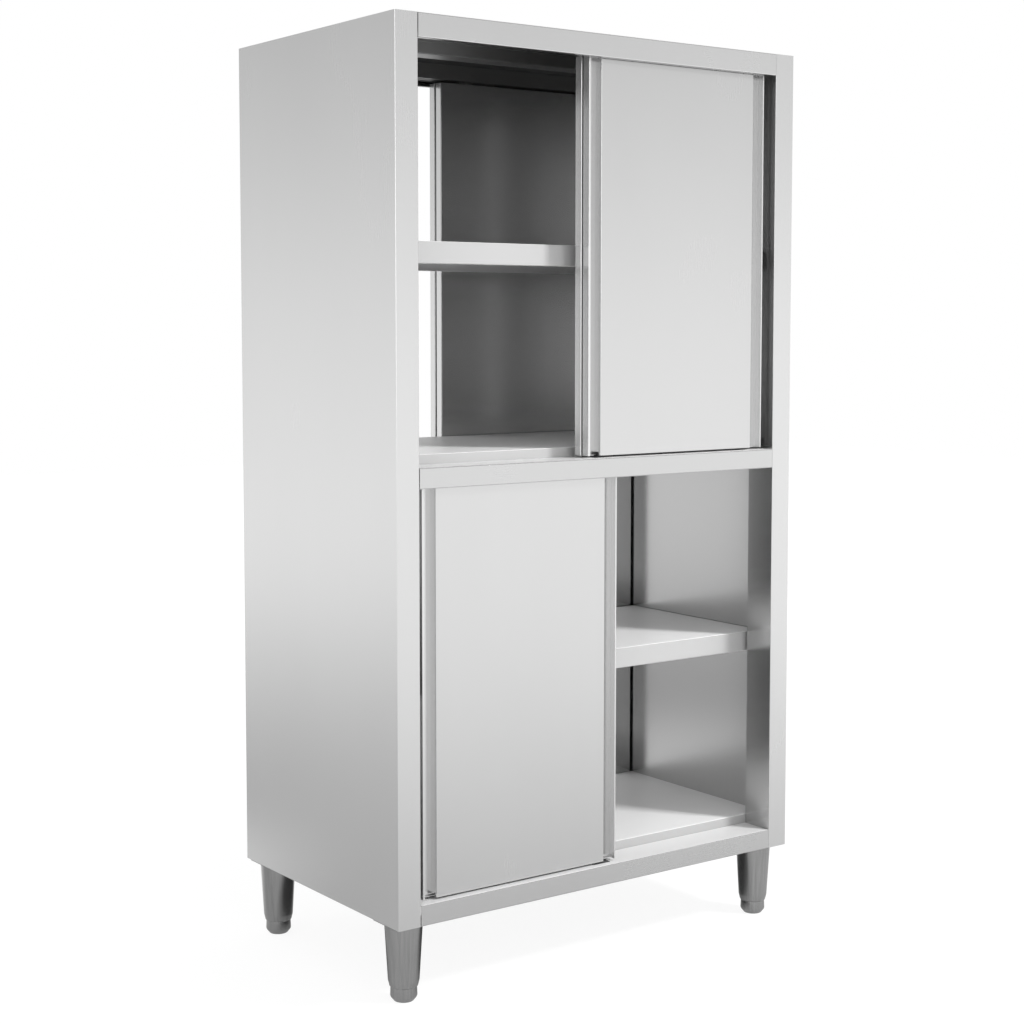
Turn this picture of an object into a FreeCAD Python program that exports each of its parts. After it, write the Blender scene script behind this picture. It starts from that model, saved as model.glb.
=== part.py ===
"""Two-sided stainless steel cupboard with sliding doors, on four levelling legs.

Frame: millimetres, +Z up, +X along the width, the front faces -Y, and the origin is on the
floor under the middle of the body. Every piece is drawn in the body's own corner frame, x from
the left face, y from the front face and z from the underside of the body, and its Placement
moves it from there. The cupboard has the same front and rear, so a rear piece is a front piece
turned half a turn about the vertical through the middle.
"""

import FreeCAD, Part
import os
import re

import Sketcher

DRIVING_SIZES = {
    # overall
    "width": 1000.0,
    "depth": 600.0,
    "body_height": 1700.0,
    "leg_height": 155.0,
    # sheet metal
    "sheet_thickness": 1.2,
    "bend_radius": 0.8,
    "joint_gap": 0.8,
    # side panels, each folded into a stile, a return and a lip at front and rear
    "stile_width": 50.0,
    "return_depth": 75.0,
    "lip_clearance": 5.0,
    "hem_width": 18.0,
    # rails across the openings
    "header_height": 45.0,
    "middle_rail_height": 40.0,
    "bottom_rail_height": 40.0,
    "rail_lip": 12.0,
    "rail_flange": 28.0,
    # decks and shelves
    "deck_rise": 19.0,
    "deck_fold": 45.0,
    "side_fold": 30.0,
    "inner_lip": 15.0,
    "shelf_level": 423.0,
    "shelf_fold": 42.0,
    "shelf_setback": 6.0,
    "shelf_side_clearance": 3.0,
    "stiffener_width": 50.0,
    "stiffener_flange": 20.0,
    "stiffener_drop": 25.0,
    "stiffener_inset": 40.0,
    # shelf brackets
    "bracket_reach": 24.0,
    "bracket_drop": 25.0,
    "bracket_length": 40.0,
    "bracket_thickness": 2.0,
    "bracket_inset": 2.0,
    # doors
    "door_width": 470.0,
    "door_thickness": 20.0,
    "door_spacing": 5.0,
    "door_reveal": 16.0,
    "door_floor_gap": 4.0,
    "door_cover": 5.0,
    "grip_lip": 4.0,
    "grip_width": 27.0,
    "guide_slot": 8.0,
    "guide_notch": 7.0,
    "upper_door_rest": 19.0,
    "lower_door_rest": 15.0,
    # overhead tracks, hangers and rollers
    "track_lift": 11.0,
    "track_wall": 1.5,
    "track_slot": 6.5,
    "roller_diameter": 20.0,
    "roller_width": 6.0,
    "roller_clearance": 0.3,
    "axle_diameter": 6.0,
    "axle_clearance": 0.05,
    "hanger_inset": 70.0,
    "hanger_width": 30.0,
    "hanger_thickness": 2.5,
    "hanger_play": 1.5,
    "hanger_margin": 6.0,
    "rivet_diameter": 6.0,
    "rivet_height": 2.0,
    # guides on the ledges, under the doors
    "guide_length": 40.0,
    "guide_base": 1.5,
    "guide_tongue_length": 16.0,
    "guide_tongue_thickness": 5.0,
    "guide_tongue_height": 6.0,
    # legs and feet
    "leg_inset_across": 45.0,
    "leg_inset_deep": 54.0,
    "leg_plate_side": 84.0,
    "leg_plate_thickness": 3.0,
    "leg_top_radius": 37.0,
    "leg_knee_radius": 30.4,
    "leg_knee_round": 14.0,
    "leg_end_radius": 27.5,
    "leg_wall": 2.0,
    "leg_knee_height": 41.0,
    "leg_end_height": 29.0,
    "leg_boss_height": 20.0,
    "foot_neck_radius": 25.5,
    "foot_bulge_radius": 26.2,
    "foot_bulge_height": 9.0,
    "foot_base_radius": 19.0,
    "foot_edge_round": 7.0,
    "foot_play": 0.5,
    "stem_radius": 6.0,
    "stem_clearance": 0.05,
    "stem_length": 80.0,
}

# heights above the underside of the body, worked out from the driving sizes
OPENING = "((body_height - header_height - middle_rail_height - bottom_rail_height) / 2)"
MIDDLE_RAIL_TOP = f"(bottom_rail_height + {OPENING} + middle_rail_height)"
DOOR_HEIGHT = f"({OPENING} - door_floor_gap + door_cover)"
AXLE_ABOVE_DOOR = "(track_lift + track_wall + roller_clearance + roller_diameter / 2 - door_cover)"
TRACK_CENTRE = "(door_reveal + door_thickness / 2)"
TRACK_PITCH = "(door_thickness + door_spacing)"
LEG_LENGTH = "(leg_height - leg_plate_thickness)"

# at rest the upper doors stand near the right stile and the lower ones near the left stile
ROWS = {
    "upper": {"ledge": MIDDLE_RAIL_TOP, "rest": "(width - stile_width - upper_door_rest - door_width)"},
    "lower": {"ledge": "bottom_rail_height", "rest": "(stile_width + lower_door_rest)"},
}
TRACKS = {"outer": "0", "inner": TRACK_PITCH}
PLANE_AXES = {"XY_Plane": (0, 1, 2), "XZ_Plane": (0, 2, 1), "YZ_Plane": (1, 2, 0)}
HALF_TURN, FULL_TURN = 180.0, 360.0
TOUCHING = 1e-4  # nearer than this, two values of a place are the same

doc = FreeCAD.newDocument("sliding_door_cabinet")
sizes = doc.addObject("Spreadsheet::Sheet", "sizes")
for row, (alias, value) in enumerate(DRIVING_SIZES.items(), start=1):
    sizes.set(f"A{row}", alias)
    sizes.set(f"B{row}", str(value))
    sizes.setAlias(f"B{row}", alias)
doc.recompute()

nodes = {}


def bound(text):
    """The expression text with every size named in it looked up in the spreadsheet."""
    return re.sub(r"[a-z_]+", lambda word: f"sizes.{word[0]}" if word[0] in DRIVING_SIZES else word[0], text)


def number(text):
    """What an expression comes to now."""
    return float(sizes.evalExpression(bound(text)))


def bind(item, **properties):
    """Binds properties of a document object to expressions."""
    for name, text in properties.items():
        item.setExpression(name.replace("__", "."), bound(text))


def put(item, x="0", y="0", z="0", turned=False):
    """Places a piece of the body's corner frame in the part's frame, turned for the rear."""
    half_turn = FreeCAD.Rotation(FreeCAD.Vector(0, 0, 1), HALF_TURN if turned else 0.0)
    sign = "-" if turned else "+"
    item.Placement = FreeCAD.Placement(FreeCAD.Vector(), half_turn)
    bind(
        item,
        Placement__Base__x=f"{sign}(({x}) - width / 2)",
        Placement__Base__y=f"{sign}(({y}) - depth / 2)",
        Placement__Base__z=f"leg_height + ({z})",
    )


def node(item, name):
    """Registers a document object as the sub-part of this name."""
    item.Label = name
    nodes[name] = item
    return item


def compound(name, pieces):
    """One sub-part made of several separate solids."""
    group = doc.addObject("Part::Compound", name)
    group.Links = pieces
    return node(group, name)


def new_body(name):
    """A PartDesign body."""
    return doc.addObject("PartDesign::Body", name)


def outline(body, plane, corners, offset="0"):
    """A closed sketch through corners on one of the body's own planes, moved along its normal."""
    sketch = body.newObject("Sketcher::SketchObject", "outline")
    origin_plane = next(f for f in body.Origin.OriginFeatures if f.Role == plane)
    sketch.AttachmentSupport = [(origin_plane, "")]
    sketch.MapMode = "FlatFace"
    bind(sketch, AttachmentOffset__Base__z=offset)
    points = [FreeCAD.Vector(number(x), number(y), 0) for x, y in corners]
    count = len(points)
    sketch.addGeometry([Part.LineSegment(points[i], points[(i + 1) % count]) for i in range(count)], False)
    sketch.addConstraint([Sketcher.Constraint("Coincident", i, 2, (i + 1) % count, 1) for i in range(count)])
    for i, corner in enumerate(corners):
        for kind, value, text in zip(("DistanceX", "DistanceY"), (points[i].x, points[i].y), corner):
            datum = sketch.addConstraint(Sketcher.Constraint(kind, -1, 1, i, 1, value))
            sketch.setExpression(f"Constraints[{datum}]", bound(text))
    return sketch


def pad(body, plane, corners, start, end):
    """A prism over corners, between two values of the axis that the plane leaves out."""
    backwards = plane == "XZ_Plane"  # its normal points along -Y
    sketch = outline(body, plane, corners, f"-({end})" if backwards else start)
    prism = body.newObject("PartDesign::Pad", "prism")
    prism.Profile = sketch
    bind(prism, Length=f"({end}) - ({start})")
    doc.recompute()
    return prism


def cut(body, plane, corners, start, end):
    """Takes a prism over corners out of the body and checks that it took something."""
    before = body.Shape.Volume
    backwards = plane == "XZ_Plane"
    sketch = outline(body, plane, corners, f"-({end})" if backwards else start)
    pocket = body.newObject("PartDesign::Pocket", "opening")
    pocket.Profile = sketch
    pocket.Reversed = True
    bind(pocket, Length=f"({end}) - ({start})")
    doc.recompute()
    if body.Shape.Volume >= before:
        raise RuntimeError(f"a cut in {body.Label} took nothing away")
    return pocket


def rectangle(low, high):
    """The four corners of an upright rectangle between two corners."""
    (left, bottom), (right, top) = low, high
    return [(left, bottom), (right, bottom), (right, top), (left, top)]


def round_edges(body, base, plane, corners, radius):
    """Fillets the long edges that stand on these corners of the outline."""
    across, up, along = PLANE_AXES[plane]
    spots = [(number(x), number(y)) for x, y in corners]
    names = []
    for i, edge in enumerate(base.Shape.Edges, start=1):
        first, last = edge.Vertexes[0].Point, edge.Vertexes[-1].Point
        if abs(first[along] - last[along]) < TOUCHING:
            continue
        if any(abs(first[across] - a) + abs(first[up] - b) < TOUCHING for a, b in spots):
            if any(abs(last[across] - a) + abs(last[up] - b) < TOUCHING for a, b in spots):
                names.append(f"Edge{i}")
    fillet = body.newObject("PartDesign::Fillet", "bend")
    fillet.Base = (base, names)
    bind(fillet, Radius=radius)
    doc.recompute()
    return fillet


def folded(body, plane, path, start, end, thickness="sheet_thickness"):
    """A folded sheet. path follows its outer face in square turns, with the metal on its right."""
    points = [(number(x), number(y)) for x, y in path]
    steps = [(points[i + 1][0] - points[i][0], points[i + 1][1] - points[i][1]) for i in range(len(points) - 1)]
    units = [tuple((step > TOUCHING) - (step < -TOUCHING) for step in pair) for pair in steps]
    rights = [(uy, -ux) for ux, uy in units]
    inner = []
    for i, (x, y) in enumerate(path):
        sides = rights[max(i - 1, 0) : i + 1]
        right_x, right_y = (sum(side[axis] for side in sides) for axis in (0, 1))
        if len(sides) == 2 and sides[0] == sides[1]:
            right_x, right_y = sides[0]
        inner.append((f"({x}) + {right_x} * {thickness}", f"({y}) + {right_y} * {thickness}"))
    prism = pad(body, plane, path + inner[::-1], start, end)
    outside, inside = [], []
    for i in range(1, len(path) - 1):
        (ax, ay), (bx, by) = units[i - 1], units[i]
        turns_right = ax * by - ay * bx < 0
        outside.append(path[i] if turns_right else inner[i])
        inside.append(inner[i] if turns_right else path[i])
    outer_bends = round_edges(body, prism, plane, outside, f"bend_radius + {thickness}")
    return round_edges(body, outer_bends, plane, inside, "bend_radius")


def side_panel(name, turned):
    """A side with its stiles, returns and lips at front and rear, and a hem along its foot."""
    body = new_body(name)
    lip_end = "sheet_thickness + lip_clearance"
    rear_lip = "depth - return_depth"
    path = [
        (lip_end, "return_depth"),
        ("stile_width", "return_depth"),
        ("stile_width", "0"),
        ("0", "0"),
        ("0", "depth"),
        ("stile_width", "depth"),
        ("stile_width", rear_lip),
        (lip_end, rear_lip),
    ]
    folded(body, "XY_Plane", path, "0", "body_height")
    hem = rectangle(("sheet_thickness / 2", "return_depth + sheet_thickness"), ("hem_width", f"{rear_lip} - sheet_thickness"))
    pad(body, "XY_Plane", hem, "0", "sheet_thickness")
    seat = rectangle(("sheet_thickness", "sheet_thickness"), ("stile_width + joint_gap", "depth - sheet_thickness"))
    cut(body, "XY_Plane", seat, "body_height - sheet_thickness", "body_height")
    put(body, turned=turned)
    node(body, name)


def top_panel():
    """The top, folded down into the header at front and rear, with flanges inside the sides."""
    body = new_body("top_panel")
    under_header = "body_height - header_height"
    path = [
        ("rail_lip", under_header),
        ("0", under_header),
        ("0", "body_height"),
        ("depth", "body_height"),
        ("depth", under_header),
        ("depth - rail_lip", under_header),
    ]
    inner_end = "stile_width + joint_gap"
    folded(body, "YZ_Plane", path, inner_end, f"width - ({inner_end})")
    for left, right in (
        ("sheet_thickness", f"{inner_end} + sheet_thickness"),
        (f"width - ({inner_end}) - sheet_thickness", "width - sheet_thickness"),
    ):
        wing = rectangle((left, "sheet_thickness"), (right, "depth - sheet_thickness"))
        pad(body, "XY_Plane", wing, "body_height - sheet_thickness", "body_height")
    for left in ("sheet_thickness", "width - 2 * sheet_thickness"):
        flange = rectangle((left, "return_depth"), (f"{left} + sheet_thickness", "depth - return_depth"))
        pad(body, "XY_Plane", flange, "body_height - side_fold", "body_height - sheet_thickness / 2")
    put(body)
    node(body, "top_panel")


def rail(name, top, height, turned):
    """A rail across the opening, with the ledge that the doors pass over and its inner flange."""
    body = new_body(name)
    foot = f"({top}) - {height}"
    path = [
        ("rail_lip", foot),
        ("0", foot),
        ("0", top),
        ("return_depth", top),
        ("return_depth", f"({top}) - rail_flange"),
    ]
    folded(body, "YZ_Plane", path, "stile_width + joint_gap", "width - stile_width - joint_gap")
    put(body, turned=turned)
    return body


def tray(name, top, fold, inset, side_gap):
    """A deck or shelf: a sheet folded down on all four sides, with lips turned in at front and rear."""
    body = new_body(name)
    near, far = f"({inset})", f"(depth - ({inset}))"
    foot = f"({top}) - {fold}"
    path = [
        (f"{near} + inner_lip", foot),
        (near, foot),
        (near, top),
        (far, top),
        (far, foot),
        (f"{far} - inner_lip", foot),
    ]
    left, right = f"(sheet_thickness + {side_gap})", f"(width - sheet_thickness - {side_gap})"
    folded(body, "YZ_Plane", path, left, right)
    for start, end in ((left, f"{left} + sheet_thickness"), (f"{right} - sheet_thickness", right)):
        flange = rectangle(
            (f"{near} + sheet_thickness / 2", f"({top}) - side_fold"),
            (f"{far} - sheet_thickness / 2", f"({top}) - sheet_thickness / 2"),
        )
        pad(body, "YZ_Plane", flange, start, end)
    put(body)
    node(body, name)


def stiffener(under):
    """A hat section under a sheet whose underside is at this height."""
    body = new_body("stiffener")
    near, far = "(depth / 2 - stiffener_width / 2)", "(depth / 2 + stiffener_width / 2)"
    crown = f"({under}) - stiffener_drop"
    path = [
        (f"{near} - stiffener_flange", under),
        (near, under),
        (near, crown),
        (far, crown),
        (far, under),
        (f"{far} + stiffener_flange", under),
    ]
    folded(body, "YZ_Plane", path, "stiffener_inset", "width - stiffener_inset")
    put(body)
    return body


def shelf_bracket(shelf_top, near, turned):
    """An angle on the side wall, under a front or rear edge of a shelf."""
    body = new_body("bracket")
    top = f"({shelf_top}) - shelf_fold"
    path = [
        ("sheet_thickness", f"{top} - bracket_drop"),
        ("sheet_thickness", top),
        ("sheet_thickness + bracket_reach", top),
    ]
    folded(body, "XZ_Plane", path, near, f"({near}) + bracket_length", "bracket_thickness")
    put(body, turned=turned)
    return body


def track(opening_top, ceiling, turned):
    """A double overhead track: two slotted channels side by side under the ceiling of a rail."""
    body = new_body("track")
    bottom = f"({opening_top}) + track_lift"
    lip_top, cell_top = f"{bottom} + track_wall", f"({ceiling}) - track_wall"
    outer, inner = TRACK_CENTRE, f"({TRACK_CENTRE} + {TRACK_PITCH})"
    near, far = f"({outer} - {TRACK_PITCH} / 2)", f"({inner} + {TRACK_PITCH} / 2)"
    web = f"({outer} + {TRACK_PITCH} / 2)"
    half_wall, half_slot = "track_wall / 2", "track_slot / 2"
    corners = [(f"{near} - {half_wall}", bottom)]
    for centre, left_wall, right_wall in ((outer, near, web), (inner, web, far)):
        corners += [
            (f"{centre} - {half_slot}", bottom),
            (f"{centre} - {half_slot}", lip_top),
            (f"{left_wall} + {half_wall}", lip_top),
            (f"{left_wall} + {half_wall}", cell_top),
            (f"{right_wall} - {half_wall}", cell_top),
            (f"{right_wall} - {half_wall}", lip_top),
            (f"{centre} + {half_slot}", lip_top),
            (f"{centre} + {half_slot}", bottom),
        ]
    corners += [(f"{far} + {half_wall}", bottom), (f"{far} + {half_wall}", ceiling), (f"{near} - {half_wall}", ceiling)]
    pad(body, "YZ_Plane", corners, "stile_width + joint_gap", "width - stile_width - joint_gap")
    put(body, turned=turned)
    return body


def floor_guide(ledge, turned):
    """A guide on the ledge, where the doors always overlap, with a tongue in each door's slot."""
    body = new_body("guide")
    middle = "width / 2"
    base_left, base_right = f"{middle} - guide_length / 2", f"{middle} + guide_length / 2"
    base = rectangle((base_left, "door_reveal"), (base_right, f"door_reveal + {TRACK_PITCH} + door_thickness"))
    pad(body, "XY_Plane", base, ledge, f"({ledge}) + guide_base")
    for offset in TRACKS.values():
        centre = f"({TRACK_CENTRE} + {offset})"
        tongue = rectangle(
            (f"{middle} - guide_tongue_length / 2", f"{centre} - guide_tongue_thickness / 2"),
            (f"{middle} + guide_tongue_length / 2", f"{centre} + guide_tongue_thickness / 2"),
        )
        pad(body, "XY_Plane", tongue, ledge, f"({ledge}) + guide_base + guide_tongue_height")
    put(body, turned=turned)
    return body


def door_face(name):
    """The raised front of a door, with its edges folded back onto the back pan."""
    body = new_body(name)
    left, right = "(grip_lip + grip_width)", "(door_width - grip_lip - grip_width)"
    behind = "door_thickness - sheet_thickness"
    top = f"{DOOR_HEIGHT} - sheet_thickness"
    folded(body, "XY_Plane", [(right, behind), (right, "0"), (left, "0"), (left, behind)], "0", top)
    slot_start = "(door_thickness - guide_slot) / 2"
    flange = rectangle((f"{left} + sheet_thickness / 2", "sheet_thickness / 2"), (f"{right} - sheet_thickness / 2", slot_start))
    pad(body, "XY_Plane", flange, "0", "sheet_thickness")
    notch = rectangle((slot_start, "0"), ("door_thickness", "guide_notch"))
    cut(body, "YZ_Plane", notch, "0", "door_width")
    return body


def door_back(name):
    """The back pan of a door, with the narrow lips that the finger grips end in."""
    body = new_body(name)
    path = [
        ("grip_lip", "0"),
        ("0", "0"),
        ("0", "door_thickness"),
        ("door_width", "door_thickness"),
        ("door_width", "0"),
        ("door_width - grip_lip", "0"),
    ]
    folded(body, "XY_Plane", path, "0", DOOR_HEIGHT)
    inside = ("sheet_thickness / 2", "door_width - sheet_thickness / 2")
    slot_end = "(door_thickness + guide_slot) / 2"
    foot = rectangle((inside[0], slot_end), (inside[1], "door_thickness - sheet_thickness / 2"))
    pad(body, "XY_Plane", foot, "0", "sheet_thickness")
    cap = rectangle((inside[0], "sheet_thickness / 2"), (inside[1], "door_thickness - sheet_thickness / 2"))
    pad(body, "XY_Plane", cap, f"{DOOR_HEIGHT} - sheet_thickness", DOOR_HEIGHT)
    return body


def hanger(centre):
    """A hanger on the door's top edge, with the bore that its roller's axle turns in."""
    body = new_body("hanger")
    left, right = f"{centre} - hanger_width / 2", f"{centre} + hanger_width / 2"
    margin = "(door_thickness / 2 - rivet_diameter - hanger_thickness / 2 - joint_gap)"
    foot = rectangle((left, margin), (right, f"door_thickness - {margin}"))
    pad(body, "XY_Plane", foot, DOOR_HEIGHT, f"{DOOR_HEIGHT} + hanger_thickness")
    near, far = "(door_thickness - hanger_thickness) / 2", "(door_thickness + hanger_thickness) / 2"
    axle = f"({DOOR_HEIGHT} + {AXLE_ABOVE_DOOR})"
    pad(body, "XZ_Plane", rectangle((left, DOOR_HEIGHT), (right, f"{axle} + hanger_margin")), near, far)
    circle = body.newObject("Sketcher::SketchObject", "bore")
    circle.AttachmentSupport = [(next(f for f in body.Origin.OriginFeatures if f.Role == "XZ_Plane"), "")]
    circle.MapMode = "FlatFace"
    bind(circle, AttachmentOffset__Base__z="-door_thickness")
    spot = FreeCAD.Vector(number(centre), number(axle), 0)
    circle.addGeometry(Part.Circle(spot, FreeCAD.Vector(0, 0, 1), number("axle_diameter / 2")), False)
    for kind, value, text in (("DistanceX", spot.x, centre), ("DistanceY", spot.y, axle)):
        datum = circle.addConstraint(Sketcher.Constraint(kind, -1, 1, 0, 3, value))
        circle.setExpression(f"Constraints[{datum}]", bound(text))
    datum = circle.addConstraint(Sketcher.Constraint("Radius", 0, number("axle_diameter / 2 + axle_clearance")))
    circle.setExpression(f"Constraints[{datum}]", bound("axle_diameter / 2 + axle_clearance"))
    before = body.Shape.Volume
    bore = body.newObject("PartDesign::Pocket", "axle_bore")
    bore.Profile = circle
    bore.Reversed = True
    bind(bore, Length="door_thickness")
    doc.recompute()
    if body.Shape.Volume >= before:
        raise RuntimeError("the axle bore took nothing away")
    return body


def rivet(centre, across):
    """A rivet head on a hanger's foot."""
    head = doc.addObject("Part::Cylinder", "rivet")
    bind(head, Radius="rivet_diameter / 2", Height="rivet_height")
    return head, centre, across, f"{DOOR_HEIGHT} + hanger_thickness"


def roller(name):
    """A pair of nylon wheels on one axle, one each side of the hanger, about the Y axis."""
    body = new_body(name)
    near = "(hanger_thickness / 2 + hanger_play)"
    far = f"({near} + roller_width)"
    wheel, axle = "roller_diameter / 2", "axle_diameter / 2"
    corners = [(f"-{far}", "0"), (f"-{far}", wheel), (f"-{near}", wheel), (f"-{near}", axle)]
    corners += [(near, axle), (near, wheel), (far, wheel), (far, "0")]
    turn = body.newObject("PartDesign::Revolution", "wheels")
    turn.Profile = outline(body, "YZ_Plane", corners)
    turn.ReferenceAxis = (turn.Profile[0], ["H_Axis"])
    turn.Angle = FULL_TURN
    doc.recompute()
    return body


def door(row, face, slot):
    """One sliding door: face, back pan, hangers and rollers, at its rest place on its track."""
    name = f"{row}_{face}_{slot}_door"
    turned = face == "rear"
    rest = ROWS[row]["rest"]
    x = f"(width - {rest} - door_width)" if turned else rest
    y = f"(door_reveal + {TRACKS[slot]})"
    z = f"({ROWS[row]['ledge']} + door_floor_gap)"
    for part_name, make in (("face", door_face), ("back", door_back)):
        piece = make(f"{name}_{part_name}")
        put(piece, x, y, z, turned)
        node(piece, f"{name}_{part_name}")
    hanger_pieces = []
    for side, centre in (("left", "hanger_inset"), ("right", "(door_width - hanger_inset)")):
        bracket = hanger(centre)
        put(bracket, x, y, z, turned)
        hanger_pieces.append(bracket)
        for direction in ("-", "+"):
            across = f"door_thickness / 2 {direction} (hanger_thickness / 2 + joint_gap / 2 + rivet_diameter / 2)"
            head, head_x, head_y, head_z = rivet(centre, across)
            put(head, f"{x} + {head_x}", f"{y} + {head_y}", f"{z} + {head_z}", turned)
            hanger_pieces.append(head)
        wheels = roller(f"{name}_{side}_roller")
        axle_z = f"{z} + {DOOR_HEIGHT} + {AXLE_ABOVE_DOOR}"
        put(wheels, f"{x} + {centre}", f"{y} + door_thickness / 2", axle_z, turned)
        node(wheels, f"{name}_{side}_roller")
    compound(f"{name}_hangers", hanger_pieces)


def turned_piece(name, corners, edge_spot=None, edge_radius=None):
    """A solid of revolution about Z over a half section, with one ring edge rounded if asked."""
    body = new_body(name)
    turn = body.newObject("PartDesign::Revolution", "turning")
    turn.Profile = outline(body, "XZ_Plane", corners)
    turn.ReferenceAxis = (turn.Profile[0], ["V_Axis"])
    turn.Angle = FULL_TURN
    doc.recompute()
    if edge_spot:
        radius, height = (number(text) for text in edge_spot)
        names = [
            f"Edge{i}"
            for i, edge in enumerate(turn.Shape.Edges, start=1)
            if edge.Curve.TypeId == "Part::GeomCircle"
            and abs(edge.Curve.Radius - radius) < TOUCHING
            and abs(edge.Curve.Center.z - height) < TOUCHING
        ]
        ring = body.newObject("PartDesign::Fillet", "ring")
        ring.Base = (turn, names)
        bind(ring, Radius=edge_radius)
        doc.recompute()
    return body


def leg():
    """A tapered leg sleeve with the boss that the foot's stem screws into. Its top is at 0."""
    end = f"(leg_end_height - {LEG_LENGTH})"
    knee = f"(leg_knee_height - {LEG_LENGTH})"
    boss_top = f"({knee} + leg_boss_height)"
    bore = "(stem_radius + stem_clearance)"
    skirt = "(foot_neck_radius - leg_wall / 2 - foot_play)"
    corners = [
        ("leg_top_radius", "0"),
        ("leg_knee_radius", knee),
        ("leg_end_radius", end),
        (skirt, end),
        (skirt, f"{end} + foot_play + leg_wall"),
        (bore, f"{end} + foot_play + leg_wall"),
        (bore, boss_top),
        ("leg_knee_radius - leg_wall", boss_top),
        ("leg_top_radius - leg_wall", "0"),
    ]
    return turned_piece("leg", corners, ("leg_knee_radius", knee), "leg_knee_round")


def foot(name):
    """A levelling foot with its screw stem, in the frame of its leg."""
    end = f"(leg_end_height - {LEG_LENGTH})"
    floor = f"(-{LEG_LENGTH})"
    bulge = f"({floor} + foot_bulge_height)"
    neck_top = f"({end} - foot_play)"
    corners = [
        ("0", floor),
        ("foot_base_radius", floor),
        ("foot_bulge_radius", bulge),
        ("foot_neck_radius", neck_top),
        ("stem_radius", neck_top),
        ("stem_radius", f"{floor} + stem_length"),
        ("0", f"{floor} + stem_length"),
    ]
    return turned_piece(name, corners, ("foot_bulge_radius", bulge), "foot_edge_round")


def undercarriage():
    """Four legs under corner plates, each with its own levelling foot."""
    plates, legs = [], []
    spots = {
        "front_left": ("leg_inset_across", "leg_inset_deep"),
        "front_right": ("(width - leg_inset_across)", "leg_inset_deep"),
        "rear_left": ("leg_inset_across", "(depth - leg_inset_deep)"),
        "rear_right": ("(width - leg_inset_across)", "(depth - leg_inset_deep)"),
    }
    for corner, (x, y) in spots.items():
        plate = doc.addObject("Part::Box", "plate")
        bind(plate, Length="leg_plate_side", Width="leg_plate_side", Height="leg_plate_thickness")
        put(plate, f"{x} - leg_plate_side / 2", f"{y} - leg_plate_side / 2", "-leg_plate_thickness")
        plates.append(plate)
        sleeve = leg()
        put(sleeve, x, y, "-leg_plate_thickness")
        legs.append(sleeve)
        pad_foot = foot(f"{corner}_foot")
        put(pad_foot, x, y, "-leg_plate_thickness")
        node(pad_foot, f"{corner}_foot")
    compound("leg_plates", plates)
    compound("legs", legs)


def body_shell():
    """The fixed pieces: sides, top, rails, decks, shelves, brackets, stiffeners, tracks and guides."""
    side_panel("left_side_panel", False)
    side_panel("right_side_panel", True)
    top_panel()
    faces = (False, True)
    compound("middle_rails", [rail("middle_rail", MIDDLE_RAIL_TOP, "middle_rail_height", t) for t in faces])
    compound("bottom_rails", [rail("bottom_rail", "bottom_rail_height", "bottom_rail_height", t) for t in faces])
    deck_tops = {"middle_deck": f"({MIDDLE_RAIL_TOP} + deck_rise)", "bottom_deck": "(bottom_rail_height + deck_rise)"}
    for name, top in deck_tops.items():
        tray(name, top, "deck_fold", "return_depth", "0")
    shelf_tops = {"upper_shelf": f"({MIDDLE_RAIL_TOP} + shelf_level)", "lower_shelf": "(bottom_rail_height + shelf_level)"}
    near = "(return_depth + shelf_setback)"
    brackets = []
    for name, top in shelf_tops.items():
        tray(name, top, "shelf_fold", near, "shelf_side_clearance")
        for start in (f"{near} + bracket_inset", f"depth - {near} - bracket_inset - bracket_length"):
            brackets += [shelf_bracket(top, start, turned) for turned in faces]
    compound("shelf_brackets", brackets)
    sheets = [*deck_tops.values(), *shelf_tops.values(), "body_height"]
    compound("stiffeners", [stiffener(f"{top} - sheet_thickness") for top in sheets])
    upper_opening = "(body_height - header_height)"
    lower_opening = f"(bottom_rail_height + {OPENING})"
    compound("upper_tracks", [track(upper_opening, "body_height - sheet_thickness", t) for t in faces])
    compound("lower_tracks", [track(lower_opening, f"{MIDDLE_RAIL_TOP} - sheet_thickness", t) for t in faces])
    compound("floor_guides", [floor_guide(row["ledge"], t) for row in ROWS.values() for t in faces])


def write_parts():
    """Checks every object and writes each sub-part to its own STEP file."""
    failed = [item.Name for item in doc.Objects if {"Invalid", "Error"} & set(item.State)]
    if failed:
        raise RuntimeError(f"these objects failed: {failed}")
    for name, item in nodes.items():
        if item.Shape.isNull() or not item.Shape.isValid() or not item.Shape.Solids:
            raise RuntimeError(f"{name} has no valid solid")
    os.makedirs("parts", exist_ok=True)
    for name, item in nodes.items():
        item.Shape.exportStep(f"parts/{name}.step")


body_shell()
undercarriage()
for door_row in ROWS:
    for door_side in ("front", "rear"):
        for door_slot in TRACKS:
            door(door_row, door_side, door_slot)
doc.recompute()
write_parts()
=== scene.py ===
"""Looks for a two-sided stainless steel cupboard with sliding doors on levelling legs.

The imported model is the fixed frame. This script gives every sheet its brushed finish, turns
smooth legs and feet, adds the small fasteners, and sets the floor, the lamps and the camera.
Lengths are in metres, +Z is up, the front faces -Y, and the origin is on the floor under the
middle of the body.
"""

from __future__ import annotations

import logging
import math
from dataclasses import dataclass, replace
from enum import Enum
from fnmatch import fnmatchcase
from typing import Any, Union

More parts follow.
